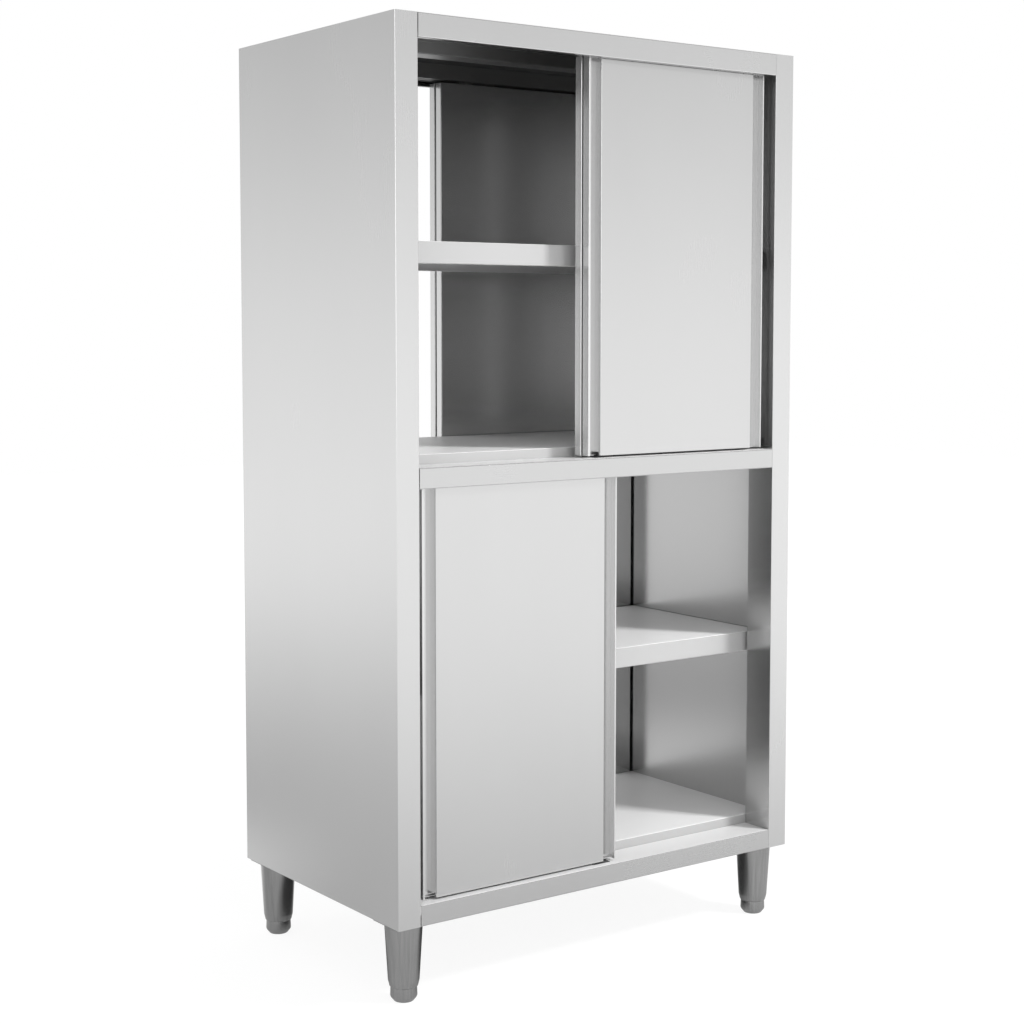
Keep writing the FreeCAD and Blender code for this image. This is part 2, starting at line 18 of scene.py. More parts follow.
import bmesh
import bpy
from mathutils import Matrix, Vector

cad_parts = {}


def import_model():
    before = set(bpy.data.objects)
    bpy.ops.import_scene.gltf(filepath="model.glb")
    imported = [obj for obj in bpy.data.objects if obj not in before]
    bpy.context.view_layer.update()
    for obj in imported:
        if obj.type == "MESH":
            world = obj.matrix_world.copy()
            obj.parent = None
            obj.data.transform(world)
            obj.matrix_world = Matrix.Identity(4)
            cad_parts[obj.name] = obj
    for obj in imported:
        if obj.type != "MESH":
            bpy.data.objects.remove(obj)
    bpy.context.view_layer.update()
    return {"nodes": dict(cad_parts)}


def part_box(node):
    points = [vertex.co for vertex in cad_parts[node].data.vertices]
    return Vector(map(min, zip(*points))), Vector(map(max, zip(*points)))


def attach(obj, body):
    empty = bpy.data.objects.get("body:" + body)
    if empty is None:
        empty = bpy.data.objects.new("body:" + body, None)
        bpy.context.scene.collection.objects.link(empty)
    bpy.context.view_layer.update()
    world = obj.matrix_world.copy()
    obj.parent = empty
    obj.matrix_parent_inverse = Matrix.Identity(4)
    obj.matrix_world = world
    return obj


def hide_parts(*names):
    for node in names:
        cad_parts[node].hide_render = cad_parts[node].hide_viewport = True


LOG = logging.getLogger("cupboard")
MM = 0.001


# ---------------------------------------------------------------- node trees


class Wire:
    """An output socket whose arithmetic adds Math nodes to its tree."""

    def __init__(self, graph: Graph, socket: bpy.types.NodeSocket) -> None:
        """Wraps a socket.

        Args:
            graph: The tree that the socket belongs to.
            socket: The output socket.
        """
        self.graph = graph
        self.socket = socket

    def _math(self, operation: str, first: Value, second: Value) -> Wire:
        """Adds one Math node on two values and returns its output."""
        return self.graph.wire("ShaderNodeMath", {"operation": operation}, {0: first, 1: second})

    def __add__(self, other: Value) -> Wire:
        """The sum with another value."""
        return self._math("ADD", self, other)

    def __radd__(self, other: Value) -> Wire:
        """The sum with a plain number on the left."""
        return self._math("ADD", other, self)

    def __sub__(self, other: Value) -> Wire:
        """The difference from another value."""
        return self._math("SUBTRACT", self, other)

    def __rsub__(self, other: Value) -> Wire:
        """A plain number less this value."""
        return self._math("SUBTRACT", other, self)

    def __mul__(self, other: Value) -> Wire:
        """The product with another value."""
        return self._math("MULTIPLY", self, other)

    def __rmul__(self, other: Value) -> Wire:
        """The product with a plain number on the left."""
        return self._math("MULTIPLY", other, self)


Value = Union[Wire, float]


class Graph:
    """A node tree that is filled through one method."""

    def __init__(self, tree: bpy.types.NodeTree) -> None:
        """Empties a tree.

        Args:
            tree: The node tree.
        """
        self.tree = tree
        tree.nodes.clear()

    def node(
        self,
        type_name: str,
        settings: dict[str, Any] | None = None,
        inputs: dict[str | int, Any] | None = None,
    ) -> bpy.types.Node:
        """Adds a node.

        Args:
            type_name: The node's type.
            settings: Its own properties, set before its sockets. A ramp's stops are a list of
                (place, colour).
            inputs: Values or wires by the socket's name or number.

        Returns:
            The new node.
        """
        node = self.tree.nodes.new(type_name)
        for name, value in (settings or {}).items():
            if name == "stops":
                self._set_stops(node, value)
            else:
                setattr(node, name, value)
        for name, value in (inputs or {}).items():
            socket = node.inputs[name]
            if isinstance(value, Wire):
                self.tree.links.new(value.socket, socket)
            elif isinstance(value, bpy.types.NodeSocket):
                self.tree.links.new(value, socket)
            else:
                socket.default_value = value
        return node

    def wire(
        self,
        type_name: str,
        settings: dict[str, Any] | None = None,
        inputs: dict[str | int, Any] | None = None,
        output: str | int = 0,
    ) -> Wire:
        """Adds a node and returns one of its outputs.

        Args:
            type_name: The node's type.
            settings: Its own properties.
            inputs: Values or wires by the socket's name or number.
            output: The output's name or number.

        Returns:
            The wrapped output.
        """
        return Wire(self, self.node(type_name, settings, inputs).outputs[output])

    @staticmethod
    def _set_stops(node: bpy.types.Node, stops: list[tuple[float, tuple[float, ...]]]) -> None:
        """Gives a colour ramp its stops."""
        elements = node.color_ramp.elements
        while len(elements) < len(stops):
            elements.new(1.0)
        for element, (place, colour) in zip(elements, stops):
            element.position = place
            element.color = colour


def grey(level: float) -> tuple[float, float, float, float]:
    """A neutral colour at a linear level."""
    return (level, level, level, 1.0)


# ------------------------------------------------------------------ finishes


class Grain(Enum):
    """The way that a sheet's brushing runs."""

    UPRIGHT = "z"
    ALONG = "x"
    ROUND = "ring"


@dataclass(frozen=True)
class PaintedLightSide:
    """The side of a sheet that has another finish than its outer skin, and whose grey is painted
    light and shade.

    Args:
        half_width: The skin starts this far from the middle along X.
        half_depth: The skin starts this far from the middle along Y.
        top: The skin starts this far above the floor.
        level: The inner side's linear grey, which is painted shade where it is darker than the skin
            and painted light where it is lighter.
        roughness: Its mean roughness.
        metallic: Its share of the metal's own reflection.
    """

    half_width: float = 499.2 * MM
    half_depth: float = 299.2 * MM
    top: float = 1854.2 * MM
    level: float = 0.50
    roughness: float = 0.22
    metallic: float = 0.97

    def mask(self, graph: Graph, place: Wire) -> Wire:
        """Tells the outer skin from the inner side.

        Args:
            graph: The material's tree.
            place: The object coordinates.

        Returns:
            1 on the skin and 0 on the inner side.
        """
        axes = graph.node("ShaderNodeSeparateXYZ", inputs={"Vector": place})
        limits = {"X": self.half_width, "Y": self.half_depth, "Z": self.top}
        beyond = [self._beyond(graph, axes.outputs[axis], limit) for axis, limit in limits.items()]
        found = beyond[0]
        for other in beyond[1:]:
            found = graph.wire("ShaderNodeMath", {"operation": "MAXIMUM"}, {0: found, 1: other})
        return found

    @staticmethod
    def _beyond(graph: Graph, socket: bpy.types.NodeSocket, limit: float) -> Wire:
        """1 where a coordinate's size is over a limit, and 0 elsewhere."""
        size = graph.wire("ShaderNodeMath", {"operation": "ABSOLUTE"}, {0: socket})
        return graph.wire("ShaderNodeMath", {"operation": "GREATER_THAN"}, {0: size, 1: limit})


@dataclass(frozen=True)
class Variation:
    """How a finish varies from place to place on a sheet.

    Args:
        band_width: How wide a darker or lighter band is, in strokes.
        band_length: How long a band is, in strokes.
        band_tone: How far the bands differ in grey, as a share.
        clouds: How often the slow unevenness changes in a metre along each axis.
        cloud_tone: How far the clouds differ in grey, as a share.
        cloud_roughness: How far the clouds differ in roughness.
        stroke_roughness: How far single strokes differ in roughness.
    """

    band_width: float = 40.0
    band_length: float = 8.0
    band_tone: float = 0.012
    clouds: tuple[float, float, float] = (2.6, 2.6, 1.7)
    cloud_tone: float = 0.06
    cloud_roughness: float = 0.04
    stroke_roughness: float = 0.004


@dataclass(frozen=True)
class BrushedSteel:
    """A brushed or mill-finished steel.

    Args:
        name: The material's name.
        grain: The direction of the brushing.
        level: The linear grey of the metal.
        roughness: The mean roughness.
        metallic: The share of the metal's own reflection.
        contrast: How far single strokes differ in grey.
        stroke_width: The width of a stroke.
        stroke_length: The length of a stroke.
        relief: The depth of the strokes.
        wave: The depth of the sheet's slow unevenness.
        inside: The sheet's inner side, where it differs, with painted light and shade in its grey.
        varies: How grey and roughness vary over the sheet.
    """

    name: str
    grain: Grain
    level: float = 0.70
    roughness: float = 0.27
    metallic: float = 0.9
    contrast: float = 0.0
    stroke_width: float = 1.1 * MM
    stroke_length: float = 160 * MM
    relief: float = 0.0003 * MM
    wave: float = 0.25 * MM
    inside: PaintedLightSide | None = None
    varies: Variation = Variation()

    def build(self) -> bpy.types.Material:
        """Makes the material.

        Returns:
            The finished material.
        """
        material = bpy.data.materials.new(self.name)
        material.use_nodes = True
        graph = Graph(material.node_tree)
        place = graph.wire("ShaderNodeTexCoord", output="Object")
        varies = self.varies
        stroke_place = self._stretched(graph, place)
        band_place = self._stretched(graph, place, varies.band_width, varies.band_length)
        cloud_place = self._scaled(graph, place, varies.clouds)
        strokes = self._noise(graph, stroke_place, detail=2.0, roughness=0.5)
        bands = self._noise(graph, band_place, detail=2.0, roughness=0.5)
        clouds = self._noise(graph, cloud_place, detail=3.0, roughness=0.55)
        tone = (bands - 0.5) * varies.band_tone + (clouds - 0.5) * varies.cloud_tone + 1.0
        if self.contrast:
            tone = tone + (strokes - 0.5) * self.contrast
        metal: Value | tuple[float, ...] = (self.level,) * 3
        roughness: Value = self.roughness
        metallic: Value = self.metallic
        if self.inside is not None:
            skin = self.inside.mask(graph, place)
            # The inner side's grey is painted light and shade, darker or lighter than the skin's grey
            # by sheet.
            metal = graph.wire(
                "ShaderNodeMix",
                {"data_type": "RGBA"},
                {"Factor": skin, "A": grey(self.inside.level), "B": grey(self.level)},
                output="Result",
            )
            roughness = skin * (self.roughness - self.inside.roughness) + self.inside.roughness
            metallic = skin * (self.metallic - self.inside.metallic) + self.inside.metallic
        colour = graph.wire("ShaderNodeVectorMath", {"operation": "SCALE"}, {0: metal, "Scale": tone})
        uneven = (strokes - 0.5) * varies.stroke_roughness + (clouds - 0.5) * varies.cloud_roughness
        rough = uneven + roughness
        fine = graph.wire(
            "ShaderNodeBump",
            inputs={"Strength": 1.0, "Distance": self.relief, "Height": strokes},
        )
        slow = graph.wire(
            "ShaderNodeBump",
            inputs={"Strength": 1.0, "Distance": self.wave, "Height": clouds, "Normal": fine},
        )
        shader = graph.wire(
            "ShaderNodeBsdfPrincipled",
            inputs={"Base Color": colour, "Metallic": metallic, "Roughness": rough, "Normal": slow},
        )
        graph.node("ShaderNodeOutputMaterial", inputs={"Surface": shader})
        return material

    def _stretched(self, graph: Graph, place: Wire, wider: float = 1.0, longer: float = 1.0) -> Wire:
        """The place scaled so that noise of scale one makes strokes along the grain.

        Args:
            graph: The material's tree.
            place: The object coordinates.
            wider: A factor on the strokes' width.
            longer: A factor on the strokes' length.

        Returns:
            The stretched coordinates.
        """
        across = 1.0 / (self.stroke_width * wider)
        along = 1.0 / (self.stroke_length * longer)
        scales = {
            Grain.UPRIGHT: (across, across, along),
            Grain.ALONG: (along, across, across),
            Grain.ROUND: (along, along, across),
        }
        return self._scaled(graph, place, scales[self.grain])

    @staticmethod
    def _scaled(graph: Graph, place: Wire, scale: tuple[float, float, float]) -> Wire:
        """The place times a scale for each axis."""
        return graph.wire("ShaderNodeVectorMath", {"operation": "MULTIPLY"}, {0: place, 1: scale})

    @staticmethod
    def _noise(graph: Graph, place: Wire, detail: float, roughness: float) -> Wire:
        """Noise at these coordinates, from 0 to 1 about a half."""
        return graph.wire(
            "ShaderNodeTexNoise",
            inputs={"Vector": place, "Scale": 1.0, "Detail": detail, "Roughness": roughness},
        )


@dataclass(frozen=True)
class Plastic:
    """A moulded plastic or rubber.

    Args:
        name: The material's name.
        colour: Its linear colour.
        roughness: The mean roughness.
        grit: The depth of its fine surface texture.
        specks: How many specks a metre holds.
        dark: The darkest specks' colour, as a share of the mean.
        pale: The palest specks' colour, as a share of the mean.
        roughness_spread: How far the specks differ in roughness.
    """

    name: str
    colour: tuple[float, float, float]
    roughness: float
    grit: float = 0.02 * MM
    specks: float = 900.0
    dark: float = 0.9
    pale: float = 1.06
    roughness_spread: float = 0.12

    def build(self) -> bpy.types.Material:
        """Makes the material.

        Returns:
            The finished material.
        """
        material = bpy.data.materials.new(self.name)
        material.use_nodes = True
        graph = Graph(material.node_tree)
        place = graph.wire("ShaderNodeTexCoord", output="Object")
        speck = graph.wire(
            "ShaderNodeTexNoise",
            inputs={"Vector": place, "Scale": self.specks, "Detail": 3.0, "Roughness": 0.6},
        )
        colour = graph.wire(
            "ShaderNodeMix",
            {"data_type": "RGBA"},
            {"Factor": speck, "A": self._shaded(self.dark), "B": self._shaded(self.pale)},
            output="Result",
        )
        bump = graph.wire(
            "ShaderNodeBump",
            inputs={"Strength": 0.6, "Distance": self.grit, "Height": speck},
        )
        rough = (speck - 0.5) * self.roughness_spread + self.roughness
        shader = graph.wire(
            "ShaderNodeBsdfPrincipled",
            inputs={"Base Color": colour, "Roughness": rough, "Normal": bump},
        )
        graph.node("ShaderNodeOutputMaterial", inputs={"Surface": shader})
        return material

    def _shaded(self, share: float) -> tuple[float, float, float, float]:
        """The mean colour times a share."""
        red, green, blue = self.colour
        return (red * share, green * share, blue * share, 1.0)


# A limit beyond the whole object, so that no skin starts along that axis.
NEVER = 10.0
# Side panels: the inner faces are painted darker than the skin, as painted shade inside the body.
PANEL_SHEET = BrushedSteel("panel_sheet", Grain.UPRIGHT, level=0.71, metallic=0.91, inside=PaintedLightSide())
DOOR_SHEET = BrushedSteel("door_sheet", Grain.UPRIGHT, level=0.69, metallic=0.94)
DOOR_LINING = BrushedSteel("door_lining", Grain.UPRIGHT, level=0.76, roughness=0.20, metallic=0.82)
# Top: its underside is painted dark, as painted shade over the upper compartment.
TOP_SHEET = BrushedSteel("top_sheet", Grain.ALONG, level=0.68, inside=PaintedLightSide(level=0.30))
# Rails: the ledge behind the front face is painted lighter than the front, as painted lamp light.
RAIL_SHEET = BrushedSteel(
    "rail_sheet",
    Grain.ALONG,
    level=0.63,
    metallic=0.90,
    inside=PaintedLightSide(
        half_width=NEVER,
        top=NEVER,
        level=0.80,
        roughness=0.34,
        metallic=0.25,
    ),
)
# Shelves: the tops behind the front flange are painted lighter than the fronts, as painted lamp
# light.
SHELF_SHEET = BrushedSteel(
    "shelf_sheet",
    Grain.ALONG,
    level=0.54,
    roughness=0.36,
    metallic=0.4,
    wave=0.2 * MM,
    inside=PaintedLightSide(
        half_width=NEVER,
        half_depth=218.6 * MM,
        top=NEVER,
        level=0.82,
        roughness=0.34,
        metallic=0.05,
    ),
)
# Decks: like the shelves, the tops are painted lighter than the fronts, as painted lamp light.
DECK_SHEET = replace(
    SHELF_SHEET,
    name="deck_sheet",
    inside=replace(SHELF_SHEET.inside, half_depth=224.6 * MM),
)
MILL_STEEL = BrushedSteel("mill_steel", Grain.ALONG, level=0.30, roughness=0.42, wave=0.05 * MM)
# Legs and feet: the strong upright streaks in their grey are brushing grain and also painted
# reflection bands.
TURNED_STEEL = BrushedSteel(
    "turned_steel",
    Grain.UPRIGHT,
    level=0.42,
    roughness=0.16,
    metallic=0.97,
    contrast=0.40,
    stroke_width=5.0 * MM,
    stroke_length=170 * MM,
    relief=0.004 * MM,
    wave=0.02 * MM,
)
SCREW_STEEL = BrushedSteel(
    "screw_steel",
    Grain.ROUND,
    level=0.48,
    roughness=0.30,
    contrast=0.08,
    wave=0.0,
)
NYLON = Plastic("nylon", colour=(0.045, 0.045, 0.047), roughness=0.45)


# -------------------------------------------------------------------- meshes


# An arc takes at most this share of each run beside it, so that two arcs on one run don't meet.
LARGEST_REACH = 0.49


@dataclass(frozen=True)
class Ring:
    """One ring of a turned profile.

    Args:
        height: The ring's height.
        radius: The ring's radius.
    """

    height: float
    radius: float


def rounded_profile(rings: list[Ring], rounds: dict[int, float], steps: int = 6) -> list[Ring]:
    """Replaces corners of a profile by arcs.

    Args:
        rings: The profile's corners from one end to the other.
        rounds: The arc's radius by the corner's number.
        steps: How many spans each arc gets.

    Returns:
        The profile with its arcs.
    """
    out: list[Ring] = []
    for number, ring in enumerate(rings):
        if number not in rounds:
            out.append(ring)
            continue
        here = Vector((ring.radius, ring.height))
        before = Vector((rings[number - 1].radius, rings[number - 1].height)) - here
        after = Vector((rings[number + 1].radius, rings[number + 1].height)) - here
        half = before.angle(after) / 2
        room = LARGEST_REACH * before.length, LARGEST_REACH * after.length
        reach = min(rounds[number] / math.tan(half), *room)
        radius = reach * math.tan(half)
        inward = (before.normalized() + after.normalized()).normalized()
        centre = here + inward * (radius / math.sin(half))
        start = here + before.normalized() * reach - centre
        end = here + after.normalized() * reach - centre
        sweep = start.angle_signed(end)
        for step in range(steps + 1):
            turn = -sweep * step / steps
            x = start.x * math.cos(turn) - start.y * math.sin(turn)
            y = start.x * math.sin(turn) + start.y * math.cos(turn)
            out.append(Ring(centre.y + y, centre.x + x))
    return out


def turned_mesh(name: str, profile: list[Ring], centre: Vector, segments: int = 64) -> bpy.types.Mesh:
    """Turns a closed profile, whose two ends are on the axis, about Z.

    Args:
        name: The mesh's name.
        profile: The rings in order; the first and last have radius 0.
        centre: The axis's place.
        segments: How many steps a turn has.

    Returns:
        The smooth closed mesh.
    """
    shape = bmesh.new()
    rows = []
    for ring in profile:
        if ring.radius <= 0:
            rows.append([shape.verts.new(centre + Vector((0, 0, ring.height)))])
            continue
        row = []
        for step in range(segments):
            turn = 2 * math.pi * step / segments
            spot = Vector((ring.radius * math.cos(turn), ring.radius * math.sin(turn), ring.height))
            row.append(shape.verts.new(centre + spot))
        rows.append(row)
    for low, high in zip(rows, rows[1:]):
        for step in range(segments):
            after = (step + 1) % segments
            if len(low) == 1:
                shape.faces.new((low[0], high[after], high[step]))
            elif len(high) == 1:
                shape.faces.new((low[step], low[after], high[0]))
            else:
                shape.faces.new((low[step], low[after], high[after], high[step]))
    bmesh.ops.recalc_face_normals(shape, faces=shape.faces)
    for face in shape.faces:
        face.smooth = True
    mesh = bpy.data.meshes.new(name)
    shape.to_mesh(mesh)
    shape.free()
    return mesh


def joined(name: str, meshes: list[bpy.types.Mesh]) -> bpy.types.Mesh:
    """Several meshes as one.

    Args:
        name: The new mesh's name.
        meshes: The meshes, which are removed.

    Returns:
        The joined mesh.
    """
    shape = bmesh.new()
    for mesh in meshes:
        shape.from_mesh(mesh)
        bpy.data.meshes.remove(mesh)
    out = bpy.data.meshes.new(name)
    shape.to_mesh(out)
    shape.free()
    return out


@dataclass(frozen=True)
class ScrewHead:
    """A low round screw head with a round socket, standing on the plane z = 0.

    Args:
        radius: The head's radius on its seat.
        crown_radius: Its radius at the top.
        height: Its height.
        socket_radius: The socket's radius at the top.
        floor_radius: The socket's radius at its floor.
        floor_height: The socket's floor above the seat.
        seat_round: The rounding at the seat.
        crown_round: The rounding at the top.
    """

    radius: float = 4.0 * MM
    crown_radius: float = 3.2 * MM
    height: float = 1.1 * MM
    socket_radius: float = 1.3 * MM
    floor_radius: float = 1.2 * MM
    floor_height: float = 0.4 * MM
    seat_round: float = 0.2 * MM
    crown_round: float = 0.6 * MM

    def mesh(self) -> bpy.types.Mesh:
        """Turns one screw head.

        Returns:
            Its mesh, along +Z at the origin.
        """
        corners = [
            Ring(0.0, 0.0),
            Ring(0.0, self.radius),
            Ring(self.height, self.crown_radius),
            Ring(self.height, self.socket_radius),
            Ring(self.floor_height, self.floor_radius),
            Ring(self.floor_height, 0.0),
        ]
        head = rounded_profile(corners, {1: self.seat_round, 2: self.crown_round}, steps=3)
        return turned_mesh("screw", head, Vector(), segments=24)


def add_piece(
    name: str,
    mesh: bpy.types.Mesh,
    body: str,
    material: bpy.types.Material,
) -> bpy.types.Object:
    """Puts a finished mesh into the scene as a piece of a body.

    Args:
        name: The piece's name.
        mesh: Its mesh, in place.
        body: The body that it rides on.
        material: Its finish.

    Returns:
        The piece.
    """
    piece = bpy.data.objects.new(name, mesh)
    bpy.context.scene.collection.objects.link(piece)
    mesh.materials.clear()
    mesh.materials.append(material)
    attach(piece, body)
    LOG.info("piece %s rides on %s", name, body)
    return piece


class Repeater:
    """A Geometry Nodes tree that sets copies of a pattern on points, all along one axis.

    Each copy is turned about that axis by an angle of its own, drawn with this fixed seed.
    """

    seed: int = 7

    def __init__(self) -> None:
        """Builds the tree once."""
        self.tree = bpy.data.node_groups.new("set_on_points", "GeometryNodeTree")
        self._socket("Points", "NodeSocketGeometry")
        self._socket("Pattern", "NodeSocketObject")
        self._socket("Axis", "NodeSocketVector")
        self._socket("Finish", "NodeSocketMaterial")
        self.tree.interface.new_socket("Pieces", in_out="OUTPUT", socket_type="NodeSocketGeometry")
        graph = Graph(self.tree)
        given = graph.node("NodeGroupInput")
        pattern = graph.node("GeometryNodeObjectInfo", {}, {"Object": given.outputs["Pattern"]})
        aligned = graph.wire(
            "FunctionNodeAlignRotationToVector",
            {"axis": "Z"},
            {"Vector": given.outputs["Axis"]},
            output="Rotation",
        )
        spin = graph.wire(
            "FunctionNodeRandomValue",
            {"data_type": "FLOAT"},
            {"Min": 0.0, "Max": math.pi, "Seed": self.seed},
            output="Value",
        )
        turn = graph.wire(
            "FunctionNodeAxisAngleToRotation",
            {},
            {"Axis": (0.0, 0.0, 1.0), "Angle": spin},
        )
        rotation = graph.wire(
            "FunctionNodeRotateRotation",
            {"rotation_space": "LOCAL"},
            {"Rotation": aligned, "Rotate By": turn},
        )
        placed = graph.wire(
            "GeometryNodeInstanceOnPoints",
            {},
            {
                "Points": given.outputs["Points"],
                "Instance": pattern.outputs["Geometry"],
                "Rotation": rotation,
            },
        )
        real = graph.wire("GeometryNodeRealizeInstances", {}, {"Geometry": placed})
        dressed = graph.wire(
            "GeometryNodeSetMaterial",
            {},
            {"Geometry": real, "Material": given.outputs["Finish"]},
        )
        graph.node("NodeGroupOutput", {}, {0: dressed})

    def _socket(self, name: str, kind: str) -> None:
        """Adds a named input to the tree."""
        self.tree.interface.new_socket(name, in_out="INPUT", socket_type=kind)

    def mesh(
        self,
        name: str,
        spots: list[Vector],
        pattern: bpy.types.Mesh,
        axis: tuple[float, float, float],
        material: bpy.types.Material,
    ) -> bpy.types.Mesh:
        """Makes one plain mesh of a pattern's copies.

        Args:
            name: The mesh's name.
            spots: Where the copies stand.
            pattern: The mesh to copy, along +Z at the origin.
            axis: The way that +Z points on every copy.
            material: The finish.

        Returns:
            The joined mesh.
        """
        points = bpy.data.meshes.new(f"{name}_points")
        points.from_pydata([tuple(spot) for spot in spots], [], [])
        carrier = bpy.data.objects.new(f"{name}_carrier", points)
        sample = bpy.data.objects.new(f"{name}_sample", pattern)
        for item in (carrier, sample):
            bpy.context.scene.collection.objects.link(item)
        modifier = carrier.modifiers.new("copies", "NODES")
        modifier.node_group = self.tree
        values = {"Pattern": sample, "Axis": axis, "Finish": material}
        for item in self.tree.interface.items_tree:
            if item.in_out == "INPUT" and item.name in values:
                modifier[item.identifier] = values[item.name]
        graph = bpy.context.evaluated_depsgraph_get()
        graph.update()
        mesh = bpy.data.meshes.new_from_object(carrier.evaluated_get(graph))
        mesh.name = name
        carrier.modifiers.clear()
        for item in (carrier, sample):
            bpy.data.objects.remove(item)
        return mesh


# -------------------------------------------------------------- sub-assemblies


@dataclass
class Undercarriage:
    """The four legs with their feet and the screws of their plates.

    Args:
        top_radius: The leg's radius under its plate.
        knee_radius: The leg's radius where the taper ends.
        end_radius: The leg's radius at its lower end.
        neck_radius: The foot's radius at its top.
        bulge_radius: The foot's largest radius.
        base_radius: The foot's radius on the floor.
        knee_height: The taper's end above the floor.
        end_height: The leg's lower end above the floor.
        bulge_height: The foot's widest place above the floor.
        screw_reach: The screws' distance from the leg's axis along each side of the plate.
        mouth_radius: The radius of the hollow in the leg's lower end, at its mouth.
        ceiling_radius: That hollow's radius at its ceiling.
        hollow: How deep it is.
        plate_round: The leg's rounding under its plate.
        knee_round: The leg's rounding where the taper ends.
        end_round: The leg's rounding at its lower end.
        base_round: The foot's rounding on the floor.
        bulge_round: The foot's rounding at its widest place.
        neck_round: The foot's rounding at its top.
        stem_radius: The radius of the stem inside the leg.
        stem_top: The stem's top above the floor.
        stem_round: The rounding of the stem's top.
        play: The gap between the leg's lower end and the foot.
        corners: The legs' places in their names.
    """

    top_radius: float = 37.0 * MM
    knee_radius: float = 30.4 * MM
    end_radius: float = 27.5 * MM
    neck_radius: float = 25.5 * MM
    bulge_radius: float = 26.2 * MM
    base_radius: float = 19.0 * MM
    knee_height: float = 41.0 * MM
    end_height: float = 29.0 * MM
    bulge_height: float = 9.0 * MM
    screw_reach: float = 35.5 * MM
    mouth_radius: float = 22.5 * MM
    ceiling_radius: float = 21.5 * MM
    hollow: float = 3.0 * MM
    plate_round: float = 0.6 * MM
    knee_round: float = 14.0 * MM
    end_round: float = 1.2 * MM
    base_round: float = 2.0 * MM
    bulge_round: float = 7.0 * MM
    neck_round: float = 0.8 * MM
    stem_radius: float = 6.0 * MM
    stem_top: float = 80.0 * MM
    stem_round: float = 1.0 * MM
    play: float = 0.5 * MM
    corners: tuple[str, ...] = ("front_left", "front_right", "rear_left", "rear_right")

    def build(
        self,
        steel: bpy.types.Material,
        screw_steel: bpy.types.Material,
        repeater: Repeater,
    ) -> None:
        """Turns the legs and feet and sets the screws.

        Args:
            steel: The finish of legs and feet.
            screw_steel: The finish of the screws.
            repeater: What sets the screws.
        """
        axes = {corner: self._axis(corner) for corner in self.corners}
        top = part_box("leg_plates")[0].z
        sleeves = [
            turned_mesh(f"{corner}_sleeve", self._sleeve(top), axis)
            for corner, axis in axes.items()
        ]
        legs = add_piece("turned_legs", joined("turned_legs", sleeves), "cabinet", steel)
        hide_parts("legs")
        for corner, axis in axes.items():
            mesh = turned_mesh(f"{corner}_turned_foot", self._foot(), axis)
            foot = add_piece(f"{corner}_turned_foot", mesh, f"{corner}_foot", steel)
            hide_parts(f"{corner}_foot")
        spots = [
            axis + Vector((x * self.screw_reach, y * self.screw_reach, top))
            for axis in axes.values()
            for x in (-1, 1)
            for y in (-1, 1)
        ]
        downwards = (0.0, 0.0, -1.0)
        mesh = repeater.mesh("plate_screws", spots, ScrewHead().mesh(), downwards, screw_steel)
        add_piece("plate_screws", mesh, "cabinet", screw_steel)

    @staticmethod
    def _axis(corner: str) -> Vector:
        """The place of a leg's axis on the floor."""
        low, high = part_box(f"{corner}_foot")
        return Vector(((low.x + high.x) / 2, (low.y + high.y) / 2, 0.0))

    def _sleeve(self, top: float) -> list[Ring]:
        """The leg's profile, from the axis under the plate down to its lower end and back in."""
        ceiling = self.end_height + self.hollow
        corners = [
            Ring(top, 0.0),
            Ring(top, self.top_radius),
            Ring(self.knee_height, self.knee_radius),
            Ring(self.end_height, self.end_radius),
            Ring(self.end_height, self.mouth_radius),
            Ring(ceiling, self.ceiling_radius),
            Ring(ceiling, 0.0),
        ]
        rounds = {1: self.plate_round, 2: self.knee_round, 3: self.end_round}
        return rounded_profile(corners, rounds)

    def _foot(self) -> list[Ring]:
        """The foot's profile, with the stem's top closed inside the leg."""
        neck_top = self.end_height - self.play
        corners = [
            Ring(0.0, 0.0),
            Ring(0.0, self.base_radius),
            Ring(self.bulge_height, self.bulge_radius),
            Ring(neck_top, self.neck_radius),
            Ring(neck_top, self.stem_radius),
            Ring(self.stem_top, self.stem_radius),
            Ring(self.stem_top, 0.0),
        ]
        rounds = {1: self.base_round, 2: self.bulge_round, 3: self.neck_round, 5: self.stem_round}
        return rounded_profile(corners, rounds)


@dataclass
class FloorGuides:
    """The screws that hold the door guides on the ledges.

    Args:
        reach: The screws' distance from the guide's middle along the ledge.
        width: The guide's plate across the ledge.
        base_height: The guide's plate above its ledge.
        tongue_top: The tongues' tops above the ledge.
    """

    reach: float = 14.0 * MM
    width: float = 45.0 * MM
    base_height: float = 1.5 * MM
    tongue_top: float = 7.5 * MM

    def build(self, steel: bpy.types.Material, repeater: Repeater) -> None:
        """Sets two screws in each guide.

        Args:
            steel: The screws' finish.
            repeater: What sets them.
        """
        low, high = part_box("floor_guides")
        ledges = (low.z, high.z - self.tongue_top)
        spots = [
            Vector((side * self.reach, y, ledge + self.base_height))
            for ledge in ledges
            for y in (low.y + self.width / 2, high.y - self.width / 2)
            for side in (-1, 1)
        ]
        upwards = (0.0, 0.0, 1.0)
        mesh = repeater.mesh("guide_screws", spots, ScrewHead().mesh(), upwards, steel)
        add_piece("guide_screws", mesh, "cabinet", steel)


